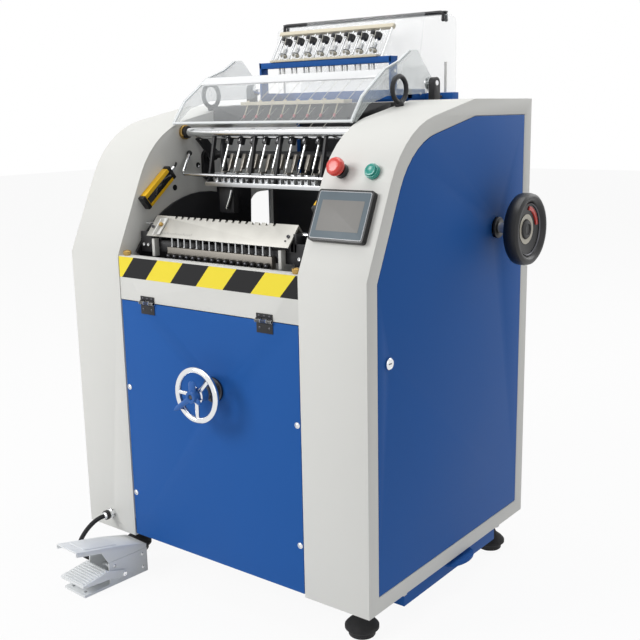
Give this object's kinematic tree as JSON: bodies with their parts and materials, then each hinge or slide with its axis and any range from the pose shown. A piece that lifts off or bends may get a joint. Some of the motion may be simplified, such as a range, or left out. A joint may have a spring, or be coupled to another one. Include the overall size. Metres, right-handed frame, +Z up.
{
  "type": "book sewing machine",
  "caption": "Floor-standing book sewing machine: open throat between arms, swinging saddle, needle row on a sliding carriage, thread rack, clear cover, handwheels and foot pedal.",
  "frame": {"origin": "middle of the machine's footprint, on the floor; the loose cord is left out of the footprint", "axes": "+Z up, +X to the right along the front as the operator sees it, +Y towards the back"},
  "size_m": [0.946, 0.865, 1.3183],
  "materials": {
    "white_paint": "fine textured light grey-white powder coat, satin",
    "blue_paint": "fine textured blue powder coat, satin",
    "grey_paint": "satin grey paint",
    "black_metal": "satin black, blackened or painted",
    "black_plastic": "satin black plastic",
    "yellow_metal": "yellow painted aluminium profile with a black window",
    "cast_aluminium": "cast and lightly coated, matt",
    "steel": "ground and brushed",
    "chrome": "bright chrome plate",
    "rubber": "matt black rubber",
    "clear_acrylic": "clear acrylic sheet with polished edges",
    "red_plastic": "gloss red",
    "green_plastic": "gloss green",
    "screen_glass": "silver bezel round a dark glossy screen"
  },
  "bodies": {
    "machine": {"base_frame": "grey_paint", "levelling_foot_1": "rubber", "levelling_foot_2": "rubber", "levelling_foot_3": "rubber", "levelling_foot_4": "rubber", "left_casing": "white_paint", "right_casing": "white_paint", "left_side_panel": "blue_paint", "right_side_panel": "blue_paint", "left_cheek": "white_paint", "right_cheek": "white_paint", "front_upper_panel": "white_paint", "rear_panel": "blue_paint", "rear_bulkhead": "grey_paint", "adjust_gearbox": "grey_paint", "head_tube": "chrome", "needle_plate_bar": "steel", "left_light_curtain": "yellow_metal", "right_light_curtain": "yellow_metal", "left_cover_hinge": "black_metal", "right_cover_hinge": "black_metal", "left_lifting_eye": "black_metal", "right_lifting_eye": "black_metal", "take_up_bar": "white_paint", "head_beam": "grey_paint", "rack_base": "blue_paint", "rack_panel": "clear_acrylic", "rack_frame": "black_metal", "rack_sheet": "clear_acrylic", "tension_beam": "blue_paint", "thread_tensioners": "steel", "drive_motor": "grey_paint", "drive_belt": "rubber", "control_box": "grey_paint", "cable_gland": "black_plastic", "pedal_cord": "rubber", "touch_panel": "screen_glass", "button_collars": "black_plastic", "pedal_base": "cast_aluminium", "pedal_hood": "cast_aluminium"},
    "front_door": {"front_door": "blue_paint", "wheel_bearing": "black_metal"},
    "front_wheel": {"front_handwheel": "chrome"},
    "clamp": {"clamp_lever": "blue_paint"},
    "main_drive": {"main_shaft": "steel", "side_handwheel": "black_plastic"},
    "motor_drive": {"motor_pulley": "steel"},
    "rocker": {"needle_rocker": "black_metal"},
    "carriage": {"needle_carriage": "chrome"},
    "saddle": {"swing_frame": "black_metal", "saddle_plate": "steel", "side_gauge": "white_paint"},
    "piercers": {"piercing_rods": "steel"},
    "stop_button": {"emergency_button": "red_plastic"},
    "go_button": {"start_button": "green_plastic"},
    "lock": {"side_lock": "chrome"},
    "foot_plate": {"treadle": "cast_aluminium"},
    "tray": {"oil_tray": "blue_paint"},
    "rail": {"guard_rail": "chrome"},
    "cover": {"clear_cover": "clear_acrylic"}
  },
  "joints": [
    {"name": "front_door_swing", "type": "hinge", "parent": "machine", "child": "front_door", "pos_m": [-0.044, -0.24983, 0.677], "axis": [-1, 0, 0], "range_deg": [0, 100]},
    {"name": "front_wheel_turn", "type": "hinge", "parent": "front_door", "child": "front_wheel", "pos_m": [-0.023, -0.29753, 0.506], "axis": [0, 1, 0], "continuous": true},
    {"name": "clamp_turn", "type": "hinge", "parent": "front_wheel", "child": "clamp", "pos_m": [-0.023, -0.30753, 0.506], "axis": [0, 1, 0], "range_deg": [-90, 90]},
    {"name": "main_drive_turn", "type": "hinge", "parent": "machine", "child": "main_drive", "pos_m": [0.3, 0.26747, 0.829], "axis": [1, 0, 0], "continuous": true},
    {"name": "motor_drive_turn", "type": "hinge", "parent": "machine", "child": "motor_drive", "pos_m": [0.29, 0.18247, 0.22], "axis": [1, 0, 0], "continuous": true},
    {"name": "rocker_turn", "type": "hinge", "parent": "machine", "child": "rocker", "pos_m": [-0.044, 0.05196, 0.99472], "axis": [1, 0, 0], "range_deg": [0, 41.11]},
    {"name": "carriage_slide", "type": "slide", "parent": "machine", "child": "carriage", "axis": [0, -0.3907, -0.9205], "range_m": [0, 0.045]},
    {"name": "saddle_swing", "type": "hinge", "parent": "machine", "child": "saddle", "pos_m": [-0.044, 0.02847, 0.629], "axis": [-1, 0, 0], "range_deg": [0, 22]},
    {"name": "piercers_slide", "type": "slide", "parent": "saddle", "child": "piercers", "axis": [0, 0, 1], "range_m": [0, 0.006]},
    {"name": "stop_button_press", "type": "slide", "parent": "machine", "child": "stop_button", "axis": [0, 0.9063, -0.4226], "range_m": [0, 0.006], "stiffness_N_per_m": 800, "springref_m": -0.004},
    {"name": "go_button_press", "type": "slide", "parent": "machine", "child": "go_button", "axis": [0, 0.9063, -0.4226], "range_m": [0, 0.004], "stiffness_N_per_m": 800, "springref_m": -0.003},
    {"name": "lock_turn", "type": "hinge", "parent": "machine", "child": "lock", "pos_m": [0.385, -0.17453, 0.608], "axis": [1, 0, 0], "range_deg": [0, 90]},
    {"name": "foot_plate_press", "type": "hinge", "parent": "machine", "child": "foot_plate", "pos_m": [-0.32994, -0.30598, 0.022], "axis": [0.9976, -0.0698, 0], "range_deg": [0, 10], "stiffness_Nm_per_rad": 6, "springref_deg": -20.05},
    {"name": "tray_slide", "type": "slide", "parent": "machine", "child": "tray", "axis": [1, 0, 0], "range_m": [0, 0.22]},
    {"name": "rail_swing", "type": "hinge", "parent": "machine", "child": "rail", "pos_m": [-0.044, -0.01053, 1], "axis": [-1, 0, 0], "range_deg": [0, 45]},
    {"name": "cover_swing", "type": "hinge", "parent": "machine", "child": "cover", "pos_m": [-0.044, 0.24747, 1.151], "axis": [-1, 0, 0], "range_deg": [0, 70]}
  ],
  "couplings": [
    {"joint": "motor_drive_turn", "follows": "main_drive_turn", "ratio": 2.3333},
    {"joint": "carriage_slide", "follows": "rocker_turn", "m_per_rad": 0.06271},
    {"joint": "piercers_slide", "follows": "saddle_swing", "m_per_rad": 0.0156}
  ]
}
